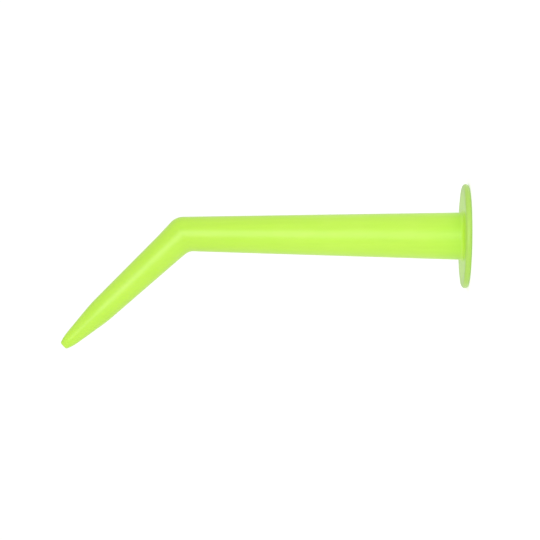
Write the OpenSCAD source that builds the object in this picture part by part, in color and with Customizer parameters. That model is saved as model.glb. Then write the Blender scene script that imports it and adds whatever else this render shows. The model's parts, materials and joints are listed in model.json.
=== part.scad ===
// Bent flanged dispensing tip: a thin round flange, a long tapered barrel, an elbow, and a nozzle
// that narrows to a small outlet. One open passage runs through all of it.
// The seating face of the flange lies on z = 0, the barrel rises along +Z, and the nozzle leans to -X.

/* [Flange] */
// Outside diameter of the flange
flange_d = 12; // [10:0.1:14]
// Thickness of the flange, whose rim is fully rounded
flange_t = 0.7; // [0.5:0.05:1.2]
// Radius of the fillet between the flange and the barrel
root_fillet = 0.45; // [0.2:0.05:0.8]

/* [Barrel] */
// Height of the centre of the bend above the seating face
barrel_l = 32.8; // [26:0.1:40]
// Outside diameter of the barrel at the flange
barrel_d = 5.45; // [5:0.05:6]
// Outside diameter of the barrel at the bend
bend_d = 3.93; // [3.6:0.01:4.4]

/* [Nozzle] */
// Angle that the nozzle turns away from the axis of the barrel
bend_angle = 43.5; // [20:0.1:60]
// Length of the nozzle from the centre of the bend to the outlet
nozzle_l = 18.9; // [16:0.1:24]
// Outside diameter of the nozzle at the bend
nozzle_d = 3.8; // [3.4:0.1:3.9]
// Outside diameter of the nozzle where its nose starts
nose_d = 2.86; // [2.7:0.01:3]
// Length of the nose, from where it starts to the outlet
nose_l = 6.3; // [5.5:0.1:6.8]
// Angle between the side of the nose and its axis
nose_slope = 7.3; // [6.5:0.1:7.5]

/* [Rounding] */
// Radius of the shoulder where the nozzle turns into the nose
shoulder_round = 15; // [5:1:20]
// Radius of the curve that closes the nose towards the outlet
tip_round = 5; // [3:0.5:6]
// Radius of the edge around the outlet
lip_round = 0.1; // [0.05:0.01:0.15]
// Angle of the side to the axis where the edge around the outlet starts
lip_slope = 22; // [18:1:24]

/* [Passage] */
// Diameter of the inlet bore
inlet_bore_d = 4; // [3.6:0.1:4.2]
// Depth of the inlet bore from the seating face
inlet_bore_l = 6; // [3:0.5:10]
// Diameter of the passage at the bend
bend_bore_d = 2.6; // [2:0.1:2.8]
// Diameter of the passage where the nose starts
nose_bore_d = 1.7; // [1.2:0.1:1.9]
// Diameter of the outlet bore
outlet_bore_d = 0.6; // [0.4:0.05:0.7]
// Length of the outlet bore
outlet_bore_l = 1.5; // [0.8:0.1:2]

/* [Hidden] */
$fn = 96;
// Steps in each rounded stretch of an outline
arc_steps = 8;
// Distance that a cutting shape runs past the face it opens
past = 0.2;
// Distance from the centre of the bend to each end of the elbow, clear of the ball that rounds it
elbow_reach = bend_d / 2 + 0.3;
// Height where the flange's fillet ends and the barrel starts
root_top = flange_t + root_fillet;
// Height where the barrel ends and the elbow starts
barrel_top = barrel_l - elbow_reach;
// Distance from the centre of the bend to the start of the nose
nose_start = nozzle_l - nose_l;
// Angle between the side of the nozzle and its axis
nozzle_slope = atan((nozzle_d - nose_d) / 2 / nose_start);
// Lengths along the axis of the nose's rounded and straight stretches
shoulder_l = shoulder_round * (sin(nose_slope) - sin(nozzle_slope));
tip_l = tip_round * (sin(lip_slope) - sin(nose_slope));
lip_l = lip_round * (1 - sin(lip_slope));
side_l = nose_l - shoulder_l - tip_l - lip_l;

function lerp(a, b, t) = a + (b - a) * t;

// Outside radius of the barrel, and radius of its tapered passage, at height z
function barrel_r(z) = lerp(barrel_d, bend_d, (z - flange_t) / (barrel_l - flange_t)) / 2;
function barrel_bore_r(z) =
    lerp(inlet_bore_d, bend_bore_d, (z - inlet_bore_l) / (barrel_l - inlet_bore_l)) / 2;

// Outside radius of the nozzle, and radius of its passage, at distance s from the centre of the bend
function nozzle_r(s) = lerp(nozzle_d, nose_d, s / nose_start) / 2;
function nozzle_bore_r(s) = lerp(bend_bore_d, nose_bore_d, s / nose_start) / 2;

// A circular stretch of outline, as [radius, height] points, given its first point
// and the angles of the outline to the axis where it starts and ends
function narrowing_arc(start, radius, from, to) = [
    for (i = [0 : arc_steps])
        let (a = lerp(from, to, i / arc_steps))
            start + radius * [cos(a) - cos(from), sin(a) - sin(from)]
];

// Points on a circle in the outline's plane, from one angle to another
function arc(centre, radius, from, to) = [
    for (i = [0 : arc_steps])
        let (a = lerp(from, to, i / arc_steps))
            centre + radius * [cos(a), sin(a)]
];

module plastic() {
    color("#bdf04f") children();
}

// Places its children with their z axis along the nozzle, starting at the centre of the bend
module along_nozzle() {
    translate([0, 0, barrel_l]) rotate([0, -bend_angle, 0]) children();
}

// Two cones that meet at the centre of the bend, with a ball that rounds the corner.
// Each cone is given its radius at its far end, and its length from the centre.
module bend(centre_r, barrel_end_r, nozzle_end_r, reach) {
    translate([0, 0, barrel_l - reach]) cylinder(h = reach, r1 = barrel_end_r, r2 = centre_r);
    along_nozzle() cylinder(h = reach, r1 = centre_r, r2 = nozzle_end_r);
    translate([0, 0, barrel_l]) sphere(r = centre_r);
}

module flange() {
    rim_r = flange_t / 2;
    root_r = barrel_r(root_top);
    plastic() rotate_extrude() polygon(concat(
        [[inlet_bore_d / 2, 0]],
        arc([flange_d / 2 - rim_r, rim_r], rim_r, -90, 90),
        arc([root_r + root_fillet, root_top], root_fillet, -90, -180),
        [[inlet_bore_d / 2, root_top]]
    ));
}

module barrel() {
    plastic() rotate_extrude() polygon([
        [inlet_bore_d / 2, root_top],
        [barrel_r(root_top), root_top],
        [barrel_r(barrel_top), barrel_top],
        [barrel_bore_r(barrel_top), barrel_top],
        [inlet_bore_d / 2, inlet_bore_l]
    ]);
}

module elbow() {
    cut = elbow_reach + past;
    plastic() difference() {
        bend(bend_d / 2, barrel_r(barrel_top), nozzle_r(elbow_reach), elbow_reach);
        bend(bend_bore_d / 2, barrel_bore_r(barrel_l - cut), nozzle_bore_r(cut), cut);
    }
}

module nozzle() {
    plastic() along_nozzle() rotate_extrude() polygon([
        [nozzle_bore_r(elbow_reach), elbow_reach],
        [nozzle_r(elbow_reach), elbow_reach],
        [nose_d / 2, nose_start],
        [nose_bore_d / 2, nose_start]
    ]);
}

module nose() {
    shoulder = narrowing_arc([nose_d / 2, nose_start], shoulder_round, nozzle_slope, nose_slope);
    tip_start = shoulder[arc_steps] + side_l * [-tan(nose_slope), 1];
    tip = narrowing_arc(tip_start, tip_round, nose_slope, lip_slope);
    lip = narrowing_arc(tip[arc_steps], lip_round, lip_slope, 90);
    plastic() along_nozzle() rotate_extrude() polygon(concat(
        shoulder,
        tip,
        lip,
        [
            [outlet_bore_d / 2, nozzle_l],
            [outlet_bore_d / 2, nozzle_l - outlet_bore_l],
            [nose_bore_d / 2, nose_start]
        ]
    ));
}

flange();
barrel();
elbow();
nozzle();
nose();
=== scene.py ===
import json
import math

import bpy
import numpy as np
from mathutils import Matrix, Vector


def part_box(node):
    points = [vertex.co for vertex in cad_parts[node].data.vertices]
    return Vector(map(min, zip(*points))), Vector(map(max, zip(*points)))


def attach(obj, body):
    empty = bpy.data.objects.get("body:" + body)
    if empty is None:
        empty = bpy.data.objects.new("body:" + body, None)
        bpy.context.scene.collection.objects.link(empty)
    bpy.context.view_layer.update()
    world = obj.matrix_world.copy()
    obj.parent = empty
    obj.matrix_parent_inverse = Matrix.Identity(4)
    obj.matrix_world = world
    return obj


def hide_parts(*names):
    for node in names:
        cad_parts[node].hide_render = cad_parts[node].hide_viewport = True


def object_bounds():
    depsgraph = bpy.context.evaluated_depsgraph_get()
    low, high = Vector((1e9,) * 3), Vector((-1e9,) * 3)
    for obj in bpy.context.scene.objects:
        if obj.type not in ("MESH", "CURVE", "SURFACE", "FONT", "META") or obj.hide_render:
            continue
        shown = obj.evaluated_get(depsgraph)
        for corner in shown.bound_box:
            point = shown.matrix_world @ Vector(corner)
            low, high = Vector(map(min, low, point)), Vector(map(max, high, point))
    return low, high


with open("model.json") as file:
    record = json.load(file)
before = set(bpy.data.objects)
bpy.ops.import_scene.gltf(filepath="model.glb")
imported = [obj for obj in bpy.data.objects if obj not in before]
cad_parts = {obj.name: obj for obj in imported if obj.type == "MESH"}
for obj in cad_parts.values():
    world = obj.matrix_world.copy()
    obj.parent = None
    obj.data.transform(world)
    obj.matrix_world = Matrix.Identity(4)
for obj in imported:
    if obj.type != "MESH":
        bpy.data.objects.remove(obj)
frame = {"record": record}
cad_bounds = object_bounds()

MM = 0.001

# ---- Shape of the moulding: values that the frame doesn't state ----

BEND_BORE_R = 1.3 * MM            # passage at the bend
NOSE_BORE_R = 0.85 * MM           # passage where the nose starts
NOSE_SLOPE = math.radians(7.3)    # side of the nose to its axis
LIP_SLOPE = math.radians(22)      # side to the axis where the lip's edge starts
SHOULDER_ROUND = 15 * MM          # where the nozzle turns into the nose
TIP_ROUND = 5 * MM                # curve that closes the nose
LIP_ROUND = 0.22 * MM             # edge around the outlet, a little softer than the solid's
MOUTH_ROUND = 0.08 * MM           # edge around the inlet's mouth
CREASE_ROUND = 0.35 * MM          # how softly the barrel and the nozzle meet inside the bend
CORNER_ROUND = 0.001 * MM         # the same around the rest of the bend, where they run into each other
SEAM_HEIGHT = 0.01 * MM           # fine ridge that the joint of the two mould halves leaves
SEAM_HALF_WIDTH = 0.07 * MM
FAN_R = 5 * MM                    # from the barrel's axis to the line that the bend's rings turn about

# ---- How finely the skin is divided ----

SIDES = 160
SEAM_CROWDING = 0.375             # how far the sides crowd towards the seam, from 0, not at all, to 0.5
ARC_STEPS = 12
BEND_RINGS = 32
BISECTIONS = 40
RING_SPACING = 1.0 * MM
END_SPACING = 0.05 * MM           # from the end of a straight run to its nearest ring

# ---- Shape of the moulding: values read from the frame ----

mounts = {m["name"]: m for m in frame["record"]["mounts"]}
inlet, outlet = mounts["inlet_bore"], mounts["outlet_bore"]
inlet_r = inlet["dims"]["r_mm"] * MM
inlet_len = inlet["dims"]["length_mm"] * MM
outlet_r = outlet["dims"]["r_mm"] * MM
outlet_len = outlet["dims"]["length_mm"] * MM
outlet_mid = Vector(outlet["pos_m"])
nozzle_dir = Vector(outlet["axis"]).normalized()
bend_centre = Vector((0, 0, outlet_mid.z - outlet_mid.x * nozzle_dir.z / nozzle_dir.x))
bend_angle = nozzle_dir.angle(Vector((0, 0, 1)))
nozzle_len = (outlet_mid - bend_centre).length + outlet_len / 2

flange_r, root_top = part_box("flange")[1].x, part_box("flange")[1].z
flange_t = mounts["flange_front"]["pos_m"][2]
root_fillet = root_top - flange_t
root_r, barrel_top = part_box("barrel")[1].x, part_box("barrel")[1].z
elbow_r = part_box("elbow")[1].x
nozzle_r, nose_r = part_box("nozzle")[1].y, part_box("nose")[1].y
elbow_reach = bend_centre.z - barrel_top
nose_start = (nose_r * math.cos(bend_angle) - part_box("nose")[1].x) / math.sin(bend_angle)
fan_reach = FAN_R * math.tan(bend_angle / 2)


def lerp(a, b, t):
    return a + (b - a) * t


def barrel_outside(z):
    return lerp(root_r, elbow_r, (z - root_top) / (barrel_top - root_top))


def barrel_inside(z):
    return lerp(inlet_r, BEND_BORE_R, (z - inlet_len) / (bend_centre.z - inlet_len))


def nozzle_outside(s):
    in_elbow = lerp(barrel_outside(bend_centre.z), nozzle_r, s / elbow_reach)
    past_elbow = lerp(nozzle_r, nose_r, (s - elbow_reach) / (nose_start - elbow_reach))
    return np.where(s < elbow_reach, in_elbow, past_elbow)


def nozzle_inside(s):
    return lerp(BEND_BORE_R, NOSE_BORE_R, s / nose_start)


# ---- Rings of the skin ----
# A ring's first point faces +X, the outside of the bend. Its points crowd towards the plane y = 0,
# where the seam runs.

even = np.arange(SIDES) / SIDES
turn = 2 * math.pi * even - SEAM_CROWDING * np.sin(4 * math.pi * even)
across = np.array([0.0, 1.0, 0.0])


def ring(centre, outward, radius, seam=0.0):
    """A circle in the plane of outward and the Y axis, with a share of the seam's ridge."""
    beside_seam = radius * np.sin(turn) / SEAM_HALF_WIDTH
    reach = radius + seam * SEAM_HEIGHT * np.exp(-beside_seam ** 2)
    spokes = np.outer(np.cos(turn), outward) + np.outer(np.sin(turn), across)
    return np.array(centre) + spokes * np.reshape(reach, (-1, 1))


def barrel_ring(z, radius, seam=0.0):
    return ring((0, 0, z), (1, 0, 0), radius, seam)


def nozzle_ring(s, radius, seam=0.0):
    outward = (math.cos(bend_angle), 0, math.sin(bend_angle))
    return ring(bend_centre + nozzle_dir * s, outward, radius, seam)


def arc(centre, radius, start, end):
    """Points on a circle in an outline's (distance, radius) plane."""
    angles = np.linspace(start, end, ARC_STEPS + 1)
    return [(centre[0] + radius * math.sin(a), centre[1] + radius * math.cos(a)) for a in angles]


def narrowing_arc(start, radius, slope_from, slope_to):
    """The arc that leaves start at one slope to the axis and ends at another."""
    centre = (start[0] - radius * math.sin(slope_from), start[1] - radius * math.cos(slope_from))
    return arc(centre, radius, slope_from, slope_to)


def straight(a, b):
    """Points between two points of an outline, close to both ends so that the shading stays flat."""
    count = max(1, round(math.dist(a, b) / RING_SPACING))
    near_end = min(END_SPACING / math.dist(a, b), 0.3)
    steps = [near_end, *np.linspace(0, 1, count + 1)[1:-1], 1 - near_end]
    return [(lerp(a[0], b[0], t), lerp(a[1], b[1], t)) for t in steps]


def joined(*stretches):
    """Chains stretches of outline with straight runs between them."""
    points = list(stretches[0])
    for stretch in stretches[1:]:
        points += straight(points[-1], stretch[0]) + list(stretch)
    return points


# ---- The bend ----

def gaps(points, barrel_radius, nozzle_radius):
    """How far points are outside the barrel and the nozzle, each ended by a ball at the bend."""
    rel = points - np.array(bend_centre)
    ball = np.linalg.norm(rel, axis=1) - barrel_radius(bend_centre.z)
    height = rel[:, 2]
    along = rel @ np.array(nozzle_dir)
    from_barrel = np.hypot(rel[:, 0], rel[:, 1]) - barrel_radius(bend_centre.z + height)
    from_nozzle = np.linalg.norm(rel - np.outer(along, nozzle_dir), axis=1) - nozzle_radius(along)
    return np.where(height <= 0, from_barrel, ball), np.where(along >= 0, from_nozzle, ball)


def soft_min(a, b, softness):
    overlap = np.clip(softness - abs(a - b), 0, None) / softness
    return np.minimum(a, b) - overlap ** 2 * softness / 4


def bend_rings(barrel_radius, nozzle_radius, seam=0.0):
    """Rings that turn from the barrel's plane to the nozzle's, each point pushed out to the wall."""
    rings = []
    inner_side = np.clip(-np.cos(turn), 0, 1)
    softness = CREASE_ROUND * inner_side + CORNER_ROUND
    for angle in np.linspace(0, bend_angle, BEND_RINGS + 1):
        outward = np.array([math.cos(angle), 0, math.sin(angle)])
        centre = np.array([-FAN_R, 0, bend_centre.z - fan_reach]) + FAN_R * outward
        low, high = np.zeros(SIDES), np.full(SIDES, 2 * FAN_R)
        for _ in range(BISECTIONS):
            middle = (low + high) / 2
            points = ring(centre, outward, middle)
            inside = soft_min(*gaps(points, barrel_radius, nozzle_radius), softness) < 0
            low, high = np.where(inside, middle, low), np.where(inside, high, middle)
        rings.append(ring(centre, outward, low, seam))
    return rings


# ---- The whole skin ----

def foot_outline():
    """From the inlet's mouth along the seating face, round the rim, and back to the fillet's top."""
    rim = flange_t / 2
    quarter = math.pi / 2
    fillet_centre = (root_top, root_r + root_fillet)
    return joined(
        arc((MOUTH_ROUND, inlet_r + MOUTH_ROUND), MOUTH_ROUND, 2 * quarter, 3 * quarter),
        arc((rim, flange_r - rim), rim, -quarter, quarter),
        arc(fillet_centre, root_fillet, 3 * quarter, 2 * quarter),
    )


def nozzle_outline():
    """From the end of the bend to the start of the rounded tip."""
    slope = math.atan((nozzle_r - nose_r) / (nose_start - elbow_reach))
    shoulder = narrowing_arc((nose_start, nose_r), SHOULDER_ROUND, slope, NOSE_SLOPE)
    lip_len = LIP_ROUND * (1 - math.sin(LIP_SLOPE))
    tip_len = TIP_ROUND * (math.sin(LIP_SLOPE) - math.sin(NOSE_SLOPE))
    tip_s = nozzle_len - lip_len - tip_len
    tip_r = shoulder[-1][1] - (tip_s - shoulder[-1][0]) * math.tan(NOSE_SLOPE)
    elbow_end = [(fan_reach, float(nozzle_outside(fan_reach)))]
    return joined(elbow_end, [(elbow_reach, nozzle_r)], shoulder, [(tip_s, tip_r)])


def tip_outline(start):
    """The curve that closes the nose and the edge around the outlet."""
    tip = narrowing_arc(start, TIP_ROUND, NOSE_SLOPE, LIP_SLOPE)
    lip = narrowing_arc(tip[-1], LIP_ROUND, LIP_SLOPE, math.pi / 2)
    return tip + lip[1:]


def skin_rings():
    """Rings from the inlet's mouth over the flange, up the outside, and back down the passage."""
    fan_start = bend_centre.z - fan_reach
    foot = foot_outline()
    barrel = straight(foot[-1], (fan_start, barrel_outside(fan_start)))
    nozzle = nozzle_outline()
    tip = tip_outline(nozzle[-1])
    passage = joined(
        tip[-1:],
        [(nozzle_len, outlet_r)],
        [(nozzle_len - outlet_len, outlet_r)],
        [(nose_start, NOSE_BORE_R)],
        [(fan_reach, nozzle_inside(fan_reach))],
    )
    bore = joined(
        [(fan_start, barrel_inside(fan_start))],
        [(inlet_len, inlet_r)],
        [(MOUTH_ROUND, inlet_r)],
    )
    rings = [barrel_ring(*p) for p in foot]
    rings += [barrel_ring(*p, seam=1) for p in barrel]
    rings += bend_rings(barrel_outside, nozzle_outside, seam=1)
    rings += [nozzle_ring(*p, seam=1) for p in nozzle[1:-1]]
    rings += [nozzle_ring(*p) for p in tip + passage[1:-1]]
    rings += bend_rings(barrel_inside, nozzle_inside)[::-1]
    rings += [barrel_ring(*p) for p in bore[1:-1]]
    return np.array(rings)


def flow_coordinates(rings):
    """Where each point is in millimetres, as the plastic flowed: across the wall's ring, and along it.

    On the flange the ring counts as no wider than the barrel's foot, so that its streaks run outwards.
    """
    steps = np.linalg.norm(np.diff(rings, axis=0), axis=2).mean(axis=1)
    along = np.concatenate([[0], np.cumsum(steps)])
    widths = np.linalg.norm(rings[:, 0] - rings[:, SIDES // 2], axis=1)
    radii = np.minimum(widths / 2, root_r)
    flow = np.empty(rings.shape)
    flow[..., 0] = np.outer(radii, np.cos(turn))
    flow[..., 1] = np.outer(radii, np.sin(turn))
    flow[..., 2] = along[:, None]
    return flow / MM


def rim_painted_shade(rings):
    """How much of the rim's painted shade each point has: all on the rim, fading out on the faces beside
    it.
    """
    from_axis = np.hypot(rings[..., 0], rings[..., 1])
    fade_start = flange_r - flange_t
    share = np.clip((from_axis - fade_start) / (flange_t / 2), 0, 1)
    return np.where(rings[..., 2] < root_top, share, 0)


def root_painted_light(rings):
    """How much of the painted light each point has: none at the bend, all of it at the flange."""
    down = (bend_centre.z - rings[..., 2]) / (bend_centre.z - root_top)
    return np.interp(down, ROOT_DOWN, ROOT_PAINTED_LIGHT_SHARE)


def skin(name, rings):
    """One closed quad mesh through the rings, the last ring joined to the first."""
    count = len(rings)
    i, j = np.meshgrid(np.arange(count), np.arange(SIDES), indexing="ij")
    next_i, next_j = (i + 1) % count, (j + 1) % SIDES
    corners = [i * SIDES + j, i * SIDES + next_j, next_i * SIDES + next_j, next_i * SIDES + j]
    mesh = bpy.data.meshes.new(name)
    mesh.from_pydata(rings.reshape(-1, 3).tolist(), [], np.stack(corners, -1).reshape(-1, 4).tolist())
    mesh.shade_smooth()
    flow = mesh.attributes.new("flow", "FLOAT_VECTOR", "POINT")
    flow.data.foreach_set("vector", flow_coordinates(rings).ravel())
    # masks for the painted light on the barrel and the painted shade on the rim
    for share in (rim_painted_shade, root_painted_light):
        values = mesh.attributes.new(share.__name__, "FLOAT", "POINT")
        values.data.foreach_set("value", share(rings).ravel())
    obj = bpy.data.objects.new(name, mesh)
    bpy.context.scene.collection.objects.link(obj)
    return obj


# ---- Materials ----

# The colours are chosen so that the render matches the photo under the lamps below.

NOZZLE_COLOUR = (0.435, 0.709, 0.051, 1)
ROOT_PAINTED_LIGHT = (0.478, 0.794, 0.057, 1)     # painted light: the barrel is coloured lighter towards the flange, where the flange shades it
RIM_PAINTED_SHADE = (0.385, 0.625, 0.09, 1)       # painted shade: the flange's thin rim is coloured darker and less yellow
ROOT_DOWN = (0, 0.5, 0.85, 1)              # places down the barrel, from the bend to the flange
ROOT_PAINTED_LIGHT_SHARE = (0, 0.4, 0.5, 1)              # how much of the painted light there is at each of them
CLOUD_TINTS = (0.975, 0.995, 0.9, 1), (1.025, 1.005, 1.12, 1)
STREAK_LEVELS = 0.985, 1.015
ROUGHNESS = 0.29, 0.37

# Spots of noise per millimetre, twice across the wall's ring and once along it

STREAKS = (2.2, 2.2, 0.12)
CLOUDS = (0.35, 0.35, 0.25)
PEEL = (2.5, 2.5, 2.0)
GRAIN = (9, 9, 9)

STREAK_DEPTH = 0.003 * MM
PEEL_DEPTH = 0.004 * MM
GRAIN_DEPTH = 0.0006 * MM

SCATTER_WEIGHT = 0.2
SCATTER_BY_COLOUR = (1.0, 1.0, 0.3)        # the pigment takes up the blue light first
SCATTER_LEN = 0.4 * MM
PLASTIC_IOR = 1.5

PAPER_COLOUR = (0.8, 0.8, 0.8, 1)
PAPER_ROUGHNESS = 0.9
PAPER_GLOW = 0.32


class Nodes:
    """Adds nodes to a material or a world, and links or sets their sockets."""

    def __init__(self, owner):
        owner.use_nodes = True
        self.tree = owner.node_tree

    def add(self, kind, inputs=None, **settings):
        node = self.tree.nodes.new(kind)
        for name, value in settings.items():
            setattr(node, name, value)
        for name, value in (inputs or {}).items():
            self.put(node.inputs[name], value)
        return node

    def put(self, socket, value):
        if isinstance(value, bpy.types.NodeSocket):
            self.tree.links.new(value, socket)
        else:
            socket.default_value = value


def new_material(name):
    mat = bpy.data.materials.new(name)
    nodes = Nodes(mat)
    return mat, nodes, mat.node_tree.nodes["Principled BSDF"]


def stretched_noise(nodes, flow, per_mm, detail):
    """Noise stretched along the flow, with the given number of spots per millimetre each way."""
    place = nodes.add("ShaderNodeMapping", {"Vector": flow, "Scale": per_mm})
    noise = nodes.add("ShaderNodeTexNoise", {"Vector": place.outputs[0], "Scale": 1, "Detail": detail})
    return noise.outputs["Fac"]


def ranged(nodes, fac, low, high):
    """The noise's usual span stretched to low..high."""
    span = {"Value": fac, "From Min": 0.3, "From Max": 0.7, "To Min": low, "To Max": high}
    return nodes.add("ShaderNodeMapRange", span).outputs["Result"]


def mixed(nodes, kind, fac, a, b):
    """Two colours mixed; a socket number is used because the mix node repeats its socket names."""
    node = nodes.add("ShaderNodeMix", data_type="RGBA", blend_type=kind)
    nodes.put(node.inputs[0], fac)
    nodes.put(node.inputs[6], a)
    nodes.put(node.inputs[7], b)
    return node.outputs[2]


def bumped(nodes, height, depth, normal=None):
    """The normal after relief of the given depth, on top of an earlier one if there is one."""
    bump = nodes.add("ShaderNodeBump", {"Height": height, "Distance": depth})
    if normal:
        nodes.put(bump.inputs["Normal"], normal)
    return bump.outputs["Normal"]


def plastic_colour(nodes, streaks, clouds):
    """Lime with painted light that lightens the barrel towards the flange and painted shade that darkens
    the rim, with clouds and streaks on top.
    """
    root = nodes.add("ShaderNodeAttribute", attribute_name="root_painted_light").outputs["Fac"]
    rim = nodes.add("ShaderNodeAttribute", attribute_name="rim_painted_shade").outputs["Fac"]
    # painted light: the barrel coloured lighter towards the flange, where the flange shades it
    colour = mixed(nodes, "MIX", root, NOZZLE_COLOUR, ROOT_PAINTED_LIGHT)
    # painted shade: the rim coloured darker and less yellow
    colour = mixed(nodes, "MIX", rim, colour, RIM_PAINTED_SHADE)
    cloudy = mixed(nodes, "MIX", ranged(nodes, clouds, 0, 1), *CLOUD_TINTS)
    colour = mixed(nodes, "MULTIPLY", 1.0, colour, cloudy)
    level = ranged(nodes, streaks, *STREAK_LEVELS)
    channels = {"Red": level, "Green": level, "Blue": level}
    streaky = nodes.add("ShaderNodeCombineColor", channels).outputs["Color"]
    return mixed(nodes, "MULTIPLY", 1.0, colour, streaky)


def lime_plastic():
    """Glossy, slightly cloudy plastic with faint lines along the flow and a fine orange peel."""
    mat, nodes, shader = new_material("lime_plastic")
    flow = nodes.add("ShaderNodeAttribute", attribute_name="flow").outputs["Vector"]
    streaks = stretched_noise(nodes, flow, STREAKS, detail=3)
    clouds = stretched_noise(nodes, flow, CLOUDS, detail=2)
    peel = stretched_noise(nodes, flow, PEEL, detail=1)
    grain = stretched_noise(nodes, flow, GRAIN, detail=2)

    normal = bumped(nodes, streaks, STREAK_DEPTH)
    normal = bumped(nodes, peel, PEEL_DEPTH, normal)
    normal = bumped(nodes, grain, GRAIN_DEPTH, normal)

    nodes.put(shader.inputs["Base Color"], plastic_colour(nodes, streaks, clouds))
    nodes.put(shader.inputs["Roughness"], ranged(nodes, grain, *ROUGHNESS))
    nodes.put(shader.inputs["Normal"], normal)
    nodes.put(shader.inputs["IOR"], PLASTIC_IOR)
    nodes.put(shader.inputs["Subsurface Weight"], SCATTER_WEIGHT)
    nodes.put(shader.inputs["Subsurface Radius"], SCATTER_BY_COLOUR)
    nodes.put(shader.inputs["Subsurface Scale"], SCATTER_LEN)
    return mat


def floor_paper():
    """White paper that glows a little, so that the background stays white down to the part."""
    mat, nodes, shader = new_material("floor_paper")
    nodes.put(shader.inputs["Base Color"], PAPER_COLOUR)
    nodes.put(shader.inputs["Roughness"], PAPER_ROUGHNESS)
    nodes.put(shader.inputs["Emission Color"], (1, 1, 1, 1))
    nodes.put(shader.inputs["Emission Strength"], PAPER_GLOW)
    return mat


# ---- Stage ----

FLOOR_HALF = 0.8
FLOOR_LEVEL = -0.01 * MM          # just under the seating face, so that the two don't coincide

AIM = Vector((-0.404, 0, -0.637)) * MM    # from the middle of the tip's box
CAMERA_DISTANCE = 0.273
CAMERA_LENS = 158
CAMERA_ROLL = math.radians(0.463)


def box_middle():
    return (cad_bounds[0] + cad_bounds[1]) / 2


def add_floor():
    mesh = bpy.data.meshes.new("floor")
    signs = (-1, -1), (1, -1), (1, 1), (-1, 1)
    corners = [(x * FLOOR_HALF, y * FLOOR_HALF, FLOOR_LEVEL) for x, y in signs]
    mesh.from_pydata(corners, [], [(0, 1, 2, 3)])
    mesh.materials.append(floor_paper())
    floor = bpy.data.objects.new("floor", mesh)
    bpy.context.scene.collection.objects.link(floor)


def add_world(light, light_from_below, backdrop):
    """A sky that gets a little brighter towards -X, the bottom of the picture.

    The camera sees an even backdrop in its place.
    """
    world = bpy.data.worlds.new("studio")
    nodes = Nodes(world)
    towards = nodes.add("ShaderNodeTexCoord").outputs["Generated"]
    x = nodes.add("ShaderNodeSeparateXYZ", {"Vector": towards}).outputs["X"]
    span = {"Value": x, "From Min": -1, "From Max": 0, "To Min": light_from_below, "To Max": light}
    sky = nodes.add("ShaderNodeMapRange", span).outputs["Result"]
    seen = nodes.add("ShaderNodeLightPath").outputs["Is Camera Ray"]
    choice = {"Value": seen, "To Min": sky, "To Max": backdrop}
    level = nodes.add("ShaderNodeMapRange", choice).outputs["Result"]
    background = world.node_tree.nodes["Background"]
    nodes.put(background.inputs["Color"], (1, 1, 1, 1))
    nodes.put(background.inputs["Strength"], level)
    # An almost even sky only gets noisier if it is sampled as a lamp.
    world.cycles.sampling_method = "NONE"
    bpy.context.scene.world = world


def add_softbox(name, offset, width, height, radiance):
    """A rectangular lamp aimed at the middle of the tip, with the same radiance all over its face."""
    lamp = bpy.data.lights.new(name, "AREA")
    lamp.shape = "RECTANGLE"
    lamp.size, lamp.size_y = width, height
    lamp.energy = radiance * math.pi * width * height
    obj = bpy.data.objects.new(name, lamp)
    obj.location = box_middle() + Vector(offset)
    obj.rotation_euler = (-Vector(offset)).to_track_quat("-Z", "Y").to_euler()
    obj.visible_camera = False
    bpy.context.scene.collection.objects.link(obj)


def add_camera():
    """Level with the middle of the tip, looking along +Y, with the flange at the picture's right."""
    aim = box_middle() + AIM
    aim.y = 0
    right = Vector((math.sin(CAMERA_ROLL), 0, -math.cos(CAMERA_ROLL)))
    up = Vector((math.cos(CAMERA_ROLL), 0, math.sin(CAMERA_ROLL)))
    back = right.cross(up)
    cam = bpy.data.cameras.new("camera")
    cam.lens = CAMERA_LENS
    cam.clip_start = 0.01
    cam.clip_end = 10
    obj = bpy.data.objects.new("camera", cam)
    facing = Matrix((right, up, back)).transposed().to_4x4()
    obj.matrix_world = Matrix.Translation(aim + back * CAMERA_DISTANCE) @ facing
    bpy.context.scene.collection.objects.link(obj)
    bpy.context.scene.camera = obj


add_camera()
add_world(light=0.85, light_from_below=1.05, backdrop=1.05)
add_floor()
add_softbox("front_softbox", offset=(0.03, -0.45, 0.07), width=0.3, height=0.3, radiance=3.03)
bpy.context.scene.view_settings.view_transform = "Standard"

tip = skin("moulded_tip", skin_rings())
tip.data.materials.append(lime_plastic())
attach(tip, "root")
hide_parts("flange", "barrel", "elbow", "nozzle", "nose")
